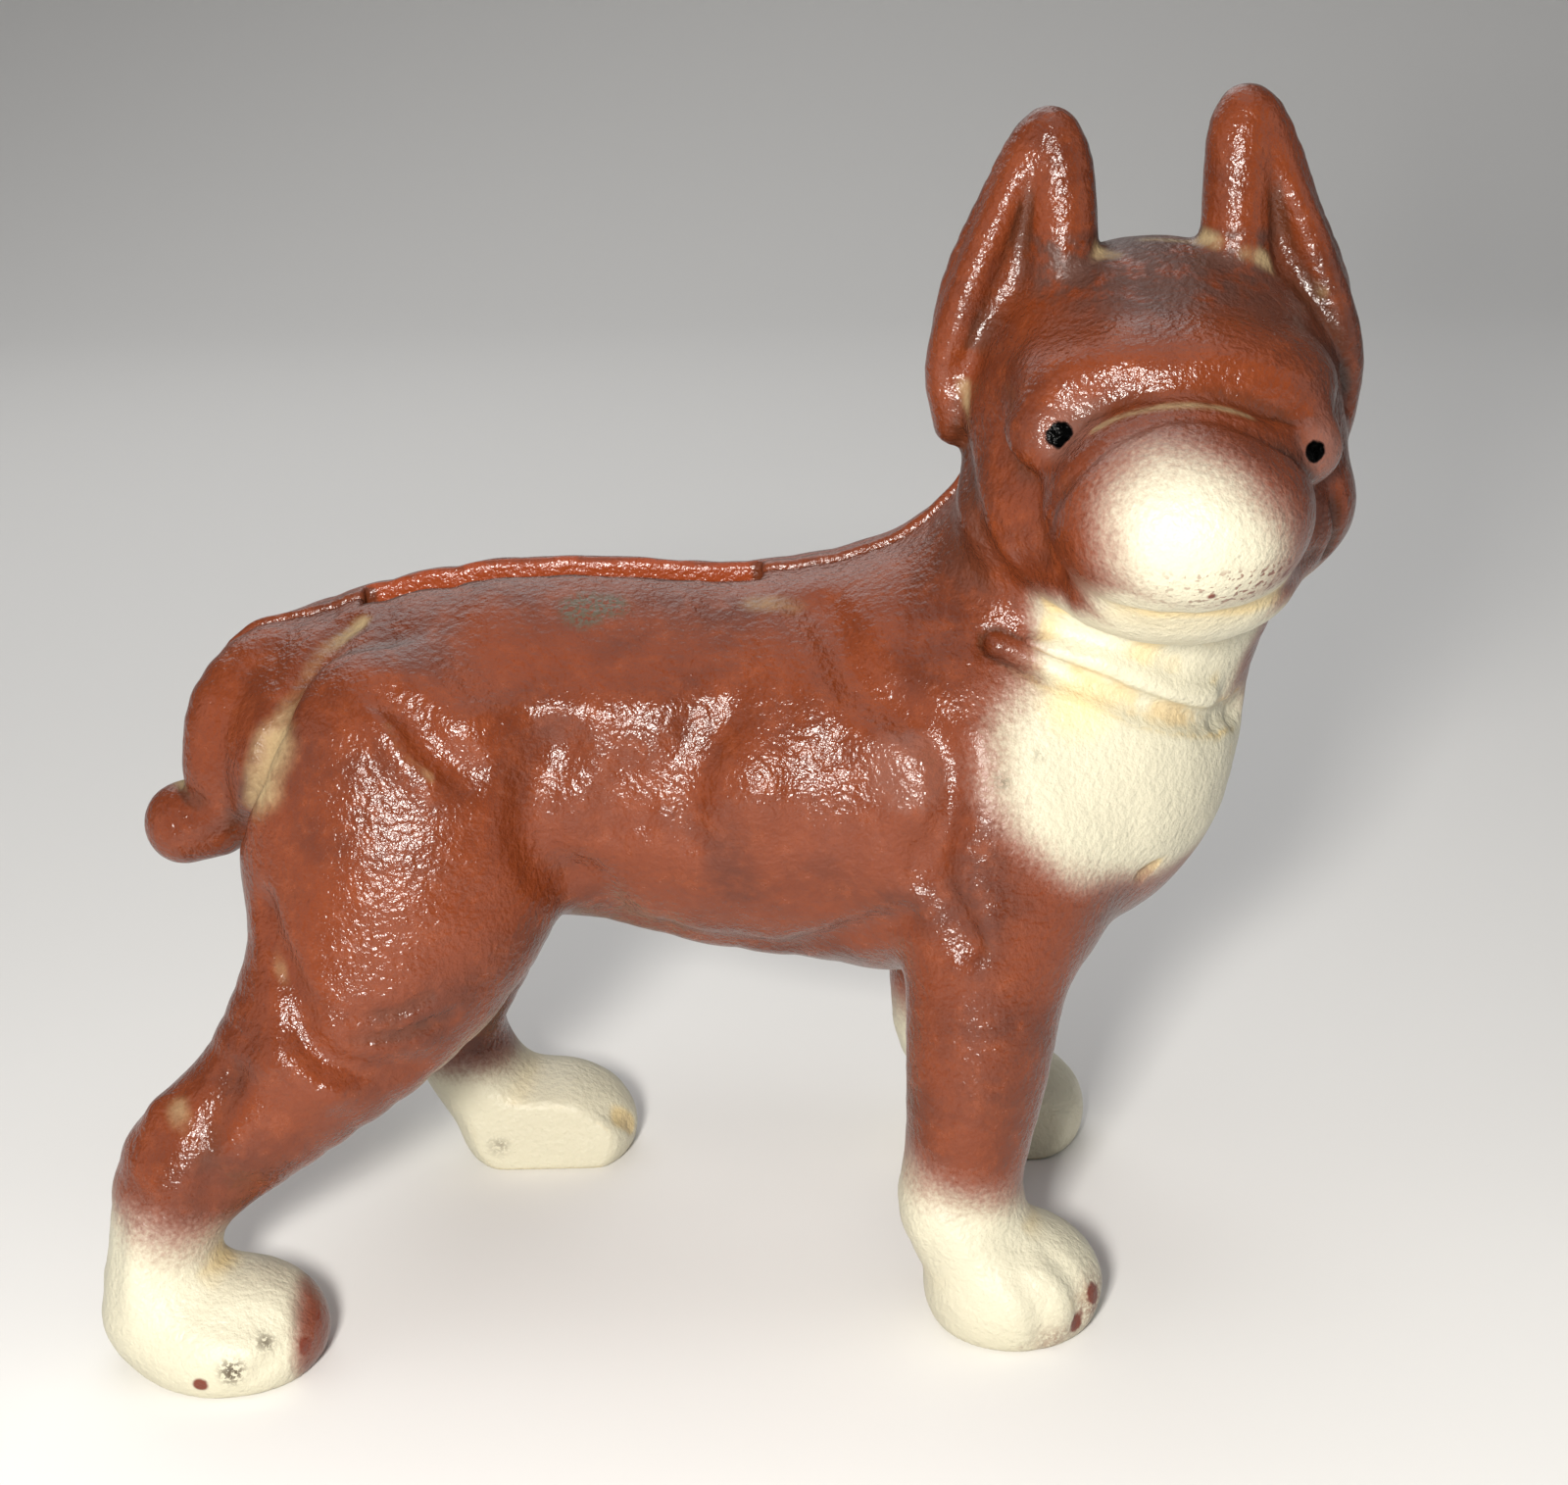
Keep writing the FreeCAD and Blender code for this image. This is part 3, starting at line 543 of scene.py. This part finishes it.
def dust_paths(p):
    """Where pale dust has settled: ear roots, brow fold, groove round the tail, thigh, hock and withers.
    Each place is a path with a width and a strength."""
    places = [
        ([(36.5, -12.5, 113.5), (38.5, -11, 117), (40, -12.5, 117.2)], 1.3, 0.75),
        ([(43, -9, 118.2), (48, -9.5, 118), (50.5, -12, 117.6)], 1.2, 0.8),
        ([(53, -12.5, 116.5), (57, -12, 115), (61, -12, 112)], 1.3, 0.8),
        ([(24.5, -11, 103), (26, -12.5, 98.5)], 1.2, 0.7),
        ([(31.5, -12, 106), (33, -12.5, 110.5)], 1.0, 0.6),
        ([(36, -32.5, 103.2), (40.5, -33, 105.2), (46.5, -33, 105.5), (51, -32.5, 104)], 1.1, 0.65),
        ([(-41, -6.5, 77.3), (-45, -10, 76), (-47.5, -14.5, 73), (-49, -17, 69), (-51, -17.5, 64),
          (-52.5, -16, 59)], 1.7, 1.0),
        ([(-48.5, -18, 66.5), (-49.5, -18.5, 63.5)], 4.2, 1.0),
        ([(-62.0, -4.5, 59.6), (-60.2, -7, 59.6), (-58.5, -8, 58.8)], 1.7, 1.0),
        ([(-36.5, -22.5, 70.5), (-34.5, -24, 67.5), (-32, -24.5, 65.5)], 0.9, 0.5),
        ([(-60.5, -29, 31), (-58.5, -30, 26.5)], 2.0, 0.55),
        ([(2, -8, 79), (6, -9, 79.3)], 2.4, 0.5),
        ([(-40, -3.6, 79.8), (-30, -3.6, 82), (-24, -3.6, 82.3)], 1.0, 0.65),
        ([(-47.5, -27, 42), (-49.5, -25.5, 47.5)], 1.3, 0.45),
    ]
    amount = np.zeros(len(p))
    for path, width, strength in places:
        amount = np.maximum(amount, strength * stroke(p.T.astype(np.float32), path, width))
    return amount


def make_casting(name, side):
    """Mesh of one half, roughened by the sand, with the amounts that its paint reads on the vertices."""
    low = (-76, -52, -2) if side < 0 else (-76, -2, -2)
    high = (72, 4, 136) if side < 0 else (72, 38, 122)

    def shape(p):
        return casting(p, side)

    v, faces = surface_net(shape, low, high, GRID)
    v, n = settled(shape, v)
    inner = smooth(1.4, 0.4, worked_out(hollow, v))
    seam = smooth(0.9, 0.3, np.abs(v[:, 1])) * smooth(-0.2, -1.0, worked_out(pattern, v))
    crevice = np.clip(1 - worked_out(shape, v + 1.6 * n) / 1.6, 0, 1)
    cream = cream_paint(v)
    rough_skin = (1 + 1.2 * cream) * grain(v, 2.6, 3) * 0.045
    rough_skin = rough_skin + grain(v, 1.5, 4) * 0.03 + grain(v, 8.0, 5) * 0.14
    flat = np.maximum(seam, smooth(0.6, 0.1, v[:, 2]))
    moved = v + n * (rough_skin * (1 - flat))[:, None]
    stain = stroke(v.T.astype(np.float32), COLLAR, 1.5)
    layers = {"cream": cream, "dust": dust_paths(v), "stain": stain,
              "inner": inner, "seam": seam, "crevice": crevice}
    return mesh_object(name, moved, faces, layers)


right_half = make_casting("right_half_painted", -1)


# The paint: one material for both halves. It builds up the way the real finish did: dark iron, brown
# enamel, cream sprayed over it, black dots for the eyes, then age: dust, chips and worn spots. On top of
# that it paints light and shade: painted shade in the creases and a painted highlight beside each eye.

class Nodes:
    """Short names for adding shader nodes; every method returns an output socket."""

    def __init__(self, name):
        self.material = bpy.data.materials.new(name)
        self.material.use_nodes = True
        self.tree = self.material.node_tree
        self.shader = self.tree.nodes["Principled BSDF"]

    def add(self, kind, inputs, **settings):
        node = self.tree.nodes.new(kind)
        for key, value in settings.items():
            setattr(node, key, value)
        for key, value in inputs.items():
            if isinstance(value, bpy.types.NodeSocket):
                self.tree.links.new(value, node.inputs[key])
            else:
                node.inputs[key].default_value = value
        return node

    def maths(self, operation, *values):
        return self.add("ShaderNodeMath", dict(enumerate(values)), operation=operation).outputs[0]

    def times(self, a, b):
        return self.maths("MULTIPLY", a, b)

    def plus(self, a, b):
        return self.maths("ADD", a, b)

    def minus(self, a, b):
        return self.maths("SUBTRACT", a, b)

    def magnitude(self, value):
        return self.maths("ABSOLUTE", value)

    def noise(self, vector, size, detail=2.0, roughness=0.5):
        """Noise whose lumps are about size millimetres across, 0 to 1."""
        node = self.add("ShaderNodeTexNoise", {"Vector": vector, "Scale": 1 / size, "Detail": detail,
                                               "Roughness": roughness})
        return node.outputs[0]

    def steps(self, value, low, high):
        """0 below low, 1 above high, smooth between."""
        node = self.add("ShaderNodeMapRange", {"Value": value, "From Min": low, "From Max": high},
                        interpolation_type="SMOOTHSTEP")
        return node.outputs[0]

    def mix(self, factor, a, b):
        """Colour a turning into colour b."""
        node = self.add("ShaderNodeMix", {}, data_type="RGBA")
        for key, value in ((0, factor), (6, a), (7, b)):
            if isinstance(value, bpy.types.NodeSocket):
                self.tree.links.new(value, node.inputs[key])
            else:
                node.inputs[key].default_value = value if key == 0 else (*value, 1)
        return node.outputs[2]

    def layer(self, name):
        return self.add("ShaderNodeAttribute", {}, attribute_name=name).outputs["Fac"]

    def millimetres(self):
        """Object coordinates in millimetres from the parting origin."""
        here = self.add("ShaderNodeTexCoord", {}).outputs["Object"]
        shift = self.add("ShaderNodeVectorMath", {0: here, 1: tuple(PARTING_ORIGIN)}, operation="SUBTRACT")
        return self.add("ShaderNodeVectorMath", {0: shift.outputs[0], "Scale": 1 / MM},
                        operation="SCALE").outputs[0]

    def spot(self, vector, centre, radius, wobble, soft=0.3):
        """1 within a ragged round spot, 0 outside."""
        d = self.add("ShaderNodeVectorMath", {0: vector, 1: centre}, operation="DISTANCE").outputs["Value"]
        d = self.plus(d, self.times(self.minus(wobble, 0.5), radius * 0.9))
        return self.steps(d, radius + soft, radius - soft)


BROWN = (0.158, 0.0315, 0.0080)
BROWN_DARK = (0.092, 0.0195, 0.0068)
BROWN_BRIGHT = (0.215, 0.047, 0.012)
CROWN = (0.050, 0.022, 0.015)
MAUVE = (0.25, 0.120, 0.092)
CREAM = (0.57, 0.535, 0.405)
CREAM_OLD = (0.62, 0.46, 0.20)
CREAM_SHADE = (0.30, 0.20, 0.11)
DUST = (0.30, 0.20, 0.095)
IRON = (0.055, 0.048, 0.042)
RUST = (0.10, 0.045, 0.025)
BARE_GREY = (0.085, 0.062, 0.036)
CHIP_RED = (0.15, 0.032, 0.016)
EYE_BLACK = (0.003, 0.003, 0.003)
SLOT_RED = (0.28, 0.050, 0.014)
EYES = (((32.8, -29.5, 101.9), 1.3), ((58.0, -29.5, 99.6), 1.15))
CHIPS = [((-58.5, -38.5, 2.5), 0.8), ((-47.8, -34.0, 4.4), 0.9), ((-46.6, -30.5, 6.0), 0.7),
         ((38.2, -27.5, 5.0), 1.5), ((36.5, -29.8, 2.6), 1.6), ((33.5, -32, 1.0), 1.2),
         ((29.5, -32.5, 0.4), 1.0),
         ((26, -32.5, 0.6), 0.7), ((52.5, -41.5, 91.2), 0.55), ((53.8, -39.8, 90.3), 0.65),
         ((50.5, -43.0, 90.4), 0.35), ((46, -44.6, 89.4), 0.4), ((38.5, -41.0, 91.3), 0.45),
         ((41.5, -42.6, 89.6), 0.3), ((49.5, -41.5, 88.6), 0.4), ((51.5, -40.5, 89.3), 0.5)]
GREY_WEAR = [((-16.0, -9.0, 79.0), 2.7), ((-13.2, -8.5, 79.2), 1.8), ((-55, -38.5, 4.0), 1.2),
             ((-51.5, -36.5, 6.5), 0.9), ((-31, 13, 3.5), 1.4), ((31.5, -25.5, 67.0), 0.35),
             ((27.5, -26.5, 64.5), 0.5)]
TOE_WEAR = [((38.5, -27, 3.5), 3.2), ((33.5, -31.5, 0.5), 2.0), ((-46.5, -30.5, 5.0), 3.0)]
STAIN = (0.58, 0.42, 0.20)
STAIN_DARK = (0.22, 0.10, 0.04)
BOSS_FACE = ((18.0, -25.0, 65.5), 4.3)

paint = Nodes("painted_cast_iron")
spot_at = paint.millimetres()
x_mm, y_mm, z_mm = [paint.add("ShaderNodeSeparateXYZ", {0: spot_at}).outputs[i] for i in range(3)]
blotch = paint.noise(spot_at, 12, 3)
speckle = paint.noise(spot_at, 0.5, 3, 0.65)
patchy = paint.noise(spot_at, 2.2, 4, 0.6)
crevice = paint.layer("crevice")
colour = paint.mix(paint.steps(blotch, 0.38, 0.72), BROWN, BROWN_DARK)
colour = paint.mix(paint.times(paint.steps(patchy, 0.42, 0.8), 0.6), colour, BROWN_BRIGHT)
colour = paint.mix(paint.times(paint.steps(speckle, 0.55, 0.75), 0.35), colour, BROWN_DARK)
slot_wall = paint.times(paint.steps(y_mm, 1.5, 2.2), paint.steps(z_mm, 72, 75))
slot_wall = paint.times(slot_wall, paint.steps(y_mm, 3.2, 2.8))
colour = paint.mix(paint.times(slot_wall, 0.8), colour, SLOT_RED)
crown = paint.times(paint.steps(z_mm, 109.5, 114.5), paint.steps(y_mm, -25, -21))
crown = paint.times(crown, paint.steps(z_mm, 119.5, 118))
between_ears = paint.magnitude(paint.minus(x_mm, EAR_X))
crown = paint.times(crown, paint.steps(between_ears, 14.5, 11.0))
crown = paint.times(crown, paint.steps(paint.plus(patchy, paint.times(blotch, 0.4)), 0.5, 0.75))
colour = paint.mix(paint.times(crown, 0.8), colour, CROWN)
temple = paint.spot(spot_at, (60.0, -17.0, 106.0), 10.0, patchy, 4.0)
colour = paint.mix(paint.times(temple, 0.45), colour, CROWN)
neck_side = paint.spot(spot_at, (24.0, -12.0, 90.0), 8.5, patchy, 3.5)
colour = paint.mix(paint.times(neck_side, 0.5), colour, CROWN)
colour = paint.mix(paint.times(paint.spot(spot_at, *BOSS_FACE, patchy, 1.0), 0.30), colour, MAUVE)
# Painted highlight: a pale mauve spot just right of each eye, where the eye bulge catches the light.
for centre, radius in EYES:
    eye_highlight = paint.times(paint.spot(spot_at, (centre[0] + 1.6, *centre[1:]), 3.4, patchy, 1.6), 0.5)
    colour = paint.mix(eye_highlight, colour, MAUVE)
# Painted shade: the colour turns near black where the crevice layer finds creases and hollows.
crease_shade = paint.times(paint.steps(crevice, 0.08, 0.5), 0.7)
colour = paint.mix(crease_shade, colour, (0.055, 0.020, 0.010))
cream_amount = paint.layer("cream")
fleck = paint.times(paint.minus(speckle, 0.5), 0.5)
sprayed = paint.plus(cream_amount, paint.times(fleck, paint.steps(cream_amount, 0.0, 0.25)))
colour = paint.mix(paint.times(paint.steps(sprayed, 0.05, 0.5), 0.75), colour, MAUVE)
cream_colour = paint.mix(paint.times(paint.steps(crevice, 0.04, 0.3), 0.7), CREAM, CREAM_OLD)
cream_colour = paint.mix(paint.times(paint.steps(crevice, 0.3, 0.7), 0.7), cream_colour, CREAM_SHADE)
yellowed = paint.spot(spot_at, (36.0, -22.5, 71.8), 3.2, patchy, 2.5)
cream_colour = paint.mix(paint.times(yellowed, 0.5), cream_colour, (0.82, 0.62, 0.28))
stain_blotch = paint.steps(paint.noise(spot_at, 5.0, 3, 0.6), 0.36, 0.62)
stained = paint.times(paint.layer("stain"), paint.plus(paint.times(stain_blotch, 0.85), 0.2))
cream_colour = paint.mix(paint.times(paint.steps(stained, 0.1, 0.8), 0.75), cream_colour, STAIN)
from_middle = paint.magnitude(paint.minus(x_mm, 40))
stain_end = paint.times(paint.steps(stained, 0.35, 0.8), paint.steps(from_middle, 9.0, 13.0))
cream_colour = paint.mix(paint.times(stain_end, 0.8), cream_colour, STAIN_DARK)
colour = paint.mix(paint.maths("POWER", paint.steps(sprayed, 0.15, 0.95), 1.5), colour, cream_colour)
specks = paint.times(paint.steps(paint.noise(spot_at, 0.75, 1), 0.58, 0.64), paint.steps(y_mm, -35, -38))
specks = paint.times(specks, paint.steps(paint.magnitude(paint.minus(z_mm, 90)), 3.0, 1.5))
specks = paint.times(specks, paint.steps(x_mm, 34, 52))
colour = paint.mix(paint.times(specks, 0.85), colour, CHIP_RED)
for centre, radius in TOE_WEAR:
    rubbed = paint.times(paint.spot(spot_at, centre, radius, patchy, 3.0), paint.steps(speckle, 0.3, 0.6))
    colour = paint.mix(paint.times(rubbed, 0.8), colour, CHIP_RED)
for centre, radius in CHIPS:
    colour = paint.mix(paint.spot(spot_at, centre, radius, patchy, 0.2), colour, CHIP_RED)
for centre, radius in GREY_WEAR:
    worn = paint.times(paint.spot(spot_at, centre, radius, patchy, 1.1), paint.steps(speckle, 0.42, 0.52))
    colour = paint.mix(worn, colour, BARE_GREY)
dust_amount = paint.steps(paint.times(paint.layer("dust"), paint.plus(patchy, 0.5)), 0.2, 0.9)
dusty = paint.mix(speckle, DUST, (0.42, 0.32, 0.17))
colour = paint.mix(paint.times(dust_amount, 0.9), colour, dusty)
dots = [paint.spot(spot_at, centre, radius, patchy, 0.15) for centre, radius in EYES]
for dot in dots:
    colour = paint.mix(dot, colour, EYE_BLACK)
paint.tree.links.new(paint.maths("MAXIMUM", *dots), paint.shader.inputs["Metallic"])
metal = paint.maths("MAXIMUM", paint.layer("inner"), paint.layer("seam"))
colour = paint.mix(metal, colour, paint.mix(patchy, IRON, RUST))
paint.tree.links.new(colour, paint.shader.inputs["Base Color"])
gloss = paint.plus(0.17, paint.times(patchy, 0.16))
gloss = paint.plus(gloss, paint.times(paint.steps(sprayed, 0.05, 0.6), 0.22))
gloss = paint.plus(gloss, paint.times(crown, 0.25))
gloss = paint.maths("MAXIMUM", gloss, paint.times(dust_amount, 0.85))
gloss = paint.maths("MAXIMUM", gloss, paint.times(metal, 0.62))
paint.tree.links.new(gloss, paint.shader.inputs["Roughness"])
peel = paint.plus(paint.noise(spot_at, 0.8, 2, 0.5), paint.times(paint.noise(spot_at, 0.3, 2), 0.25))
bump = paint.add("ShaderNodeBump", {"Height": peel, "Strength": 1.0, "Distance": 0.00024})
paint.tree.links.new(bump.outputs[0], paint.shader.inputs["Normal"])
paint.shader.inputs["Specular IOR Level"].default_value = 0.45

right_half.data.materials.append(paint.material)
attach(right_half, "right_half")
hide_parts("right_half_casting")

# ---------------------------------------------------------------------------------------------------
# Left half casting: the far side with the back of the head. It was cast in the same way and stands a
# little proud of the right half along the back, where the two moulds didn't quite match.

left_half = make_casting("left_half_painted", 1)
left_half.data.materials.append(paint.material)
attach(left_half, "left_half")
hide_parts("left_half_casting")

# ---------------------------------------------------------------------------------------------------
# Assembly screw: a slotted fillister-head machine screw of plated steel, about 4.8 mm thick. It goes in
# from the left and screws into the right half's boss. The thread is turned on the shank.

SHANK_RADIUS = 2.41
SHANK_LENGTH = 34.5
THREAD_PITCH = 1.058
THREAD_DEPTH = 0.55
THREADED = 26.0
HEAD_RADIUS = 4.0
HEAD_HEIGHT = 3.2
SLOT_WIDTH = 1.3
SLOT_DEPTH = 1.4
SCREW_GRID = 0.17


def screw(p):
    """A cylinder whose radius follows the thread, a domed head, and the driver's slot."""
    x, y, z = p[0] - BOSS[0], p[1] - SCREW_SEAT_Y, p[2] - BOSS[1]
    r = np.hypot(x, z)
    turn = (y / THREAD_PITCH + np.arctan2(x, z) / (2 * math.pi)) % 1
    thread_end = -SHANK_LENGTH + THREADED
    cut = THREAD_DEPTH * (1 - np.abs(2 * turn - 1)) * smooth(thread_end + 2, thread_end, y)
    shank = np.maximum(np.maximum(r - SHANK_RADIUS + cut, y - 0.5), -SHANK_LENGTH - y)
    shank = trim(shank, (r - SHANK_RADIUS + 0.8) - (y + SHANK_LENGTH), 0.3)
    dome = np.sqrt(r ** 2 + (y - HEAD_HEIGHT + 12) ** 2) - 12
    top = trim(trim(r - HEAD_RADIUS, dome, 0.4), -y, 0.25)
    top = trim(top, -np.maximum(np.abs(x) - SLOT_WIDTH / 2, HEAD_HEIGHT - SLOT_DEPTH - y), 0.2)
    return join(shank, top, 0.3)


low = (BOSS[0] - 4.6, SCREW_SEAT_Y - SHANK_LENGTH - 0.6, BOSS[1] - 4.6)
high = (BOSS[0] + 4.6, SCREW_SEAT_Y + HEAD_HEIGHT + 0.6, BOSS[1] + 4.6)
v, faces = surface_net(screw, low, high, SCREW_GRID)
v, _ = settled(screw, v)
assembly_screw = mesh_object("slotted_screw", v, faces)

steel = Nodes("aged_screw_steel")
at = steel.millimetres()
tarnish = steel.noise(at, 1.6, 3, 0.6)
steel.tree.links.new(steel.mix(steel.steps(tarnish, 0.35, 0.7), (0.30, 0.28, 0.25), (0.13, 0.085, 0.055)),
                     steel.shader.inputs["Base Color"])
steel.tree.links.new(steel.plus(0.3, steel.times(tarnish, 0.35)), steel.shader.inputs["Roughness"])
steel.shader.inputs["Metallic"].default_value = 1.0
scratches = steel.add("ShaderNodeBump", {"Height": steel.noise(at, 0.25, 2), "Strength": 0.5,
                                         "Distance": 0.00005})
steel.tree.links.new(scratches.outputs[0], steel.shader.inputs["Normal"])
assembly_screw.data.materials.append(steel.material)
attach(assembly_screw, "screw")
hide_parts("assembly_screw")

# ---------------------------------------------------------------------------------------------------
# Studio: a pale floor that curves up into a backdrop, soft lights and the camera.

FLOOR_HALF = 1.6
BACK_START = 0.55
BACK_RADIUS = 0.35
u = np.linspace(-FLOOR_HALF, FLOOR_HALF, 9)
angle = np.linspace(0, math.pi / 2, 17)
curve_y = BACK_START + BACK_RADIUS * np.sin(angle)
rise_y = np.concatenate([[-FLOOR_HALF, -0.5], curve_y, [BACK_START + BACK_RADIUS]])
rise_z = np.concatenate([[0, 0], BACK_RADIUS * (1 - np.cos(angle)), [FLOOR_HALF]])
grid = np.stack(np.broadcast_arrays(u[:, None], rise_y[None, :], rise_z[None, :]), -1).reshape(-1, 3)
rows = len(rise_y)
index = np.arange(len(u) * rows).reshape(len(u), rows)
quads = np.stack([index[:-1, :-1], index[1:, :-1], index[1:, 1:], index[:-1, 1:]], -1).reshape(-1, 4)
floor = mesh_object("studio_floor", (grid - PARTING_ORIGIN) / MM, quads)
wall_paint = Nodes("studio_paper")
wall_paint.shader.inputs["Base Color"].default_value = (0.80, 0.79, 0.77, 1)
wall_paint.shader.inputs["Roughness"].default_value = 0.9
floor.data.materials.append(wall_paint.material)


def softbox(name, place, target, size, power, warmth=(1, 1, 1)):
    """A square area light at a place, facing a target; places are in millimetres from the parting origin."""
    light = bpy.data.lights.new(name, "AREA")
    light.size = size
    light.energy = power
    light.color = warmth
    holder = bpy.data.objects.new(name, light)
    bpy.context.scene.collection.objects.link(holder)
    at = Vector(np.array(place) * MM + PARTING_ORIGIN)
    to = Vector(np.array(target) * MM + PARTING_ORIGIN)
    holder.matrix_world = Matrix.Translation(at) @ (to - at).to_track_quat("-Z", "Y").to_matrix().to_4x4()


softbox("key", (-48, -350, 190), (5, -10, 60), 0.045, 2.0, (1, 0.97, 0.92))
softbox("overhead", (60, -60, 700), (0, 0, 50), 0.7, 1.2)
softbox("left_fill", (-650, -250, 300), (0, 0, 60), 0.6, 0.7)
softbox("right_fill", (650, -150, 260), (0, 0, 60), 0.5, 0.45)
softbox("back_fill", (-120, 430, 480), (0, 0, 60), 0.5, 1.1)
world = bpy.data.worlds.new("studio_air")
world.use_nodes = True
world.node_tree.nodes["Background"].inputs[0].default_value = (0.9, 0.93, 1, 1)
world.node_tree.nodes["Background"].inputs[1].default_value = 0.10
bpy.context.scene.world = world

CAMERA_PLACE = (5.0, -322.3, 171.5)
CAMERA_PITCH = math.radians(19.05)
CAMERA_ROLL = math.radians(-1.17)
camera_data = bpy.data.cameras.new("camera")
camera_data.sensor_width = 36.0
camera_data.lens = 69.75
camera_data.clip_start = 0.01
camera = bpy.data.objects.new("camera", camera_data)
bpy.context.scene.collection.objects.link(camera)
level = Vector((1, 0, 0))
up = Vector((0, math.sin(CAMERA_PITCH), math.cos(CAMERA_PITCH)))
back = Vector((0, -math.cos(CAMERA_PITCH), math.sin(CAMERA_PITCH)))
image_right = level * math.cos(CAMERA_ROLL) + up * math.sin(CAMERA_ROLL)
image_up = up * math.cos(CAMERA_ROLL) - level * math.sin(CAMERA_ROLL)
turn = Matrix((image_right, image_up, back)).transposed().to_4x4()
camera.matrix_world = Matrix.Translation(Vector(np.array(CAMERA_PLACE) * MM + PARTING_ORIGIN)) @ turn
bpy.context.scene.camera = camera
bpy.context.scene.view_settings.view_transform = "Standard"
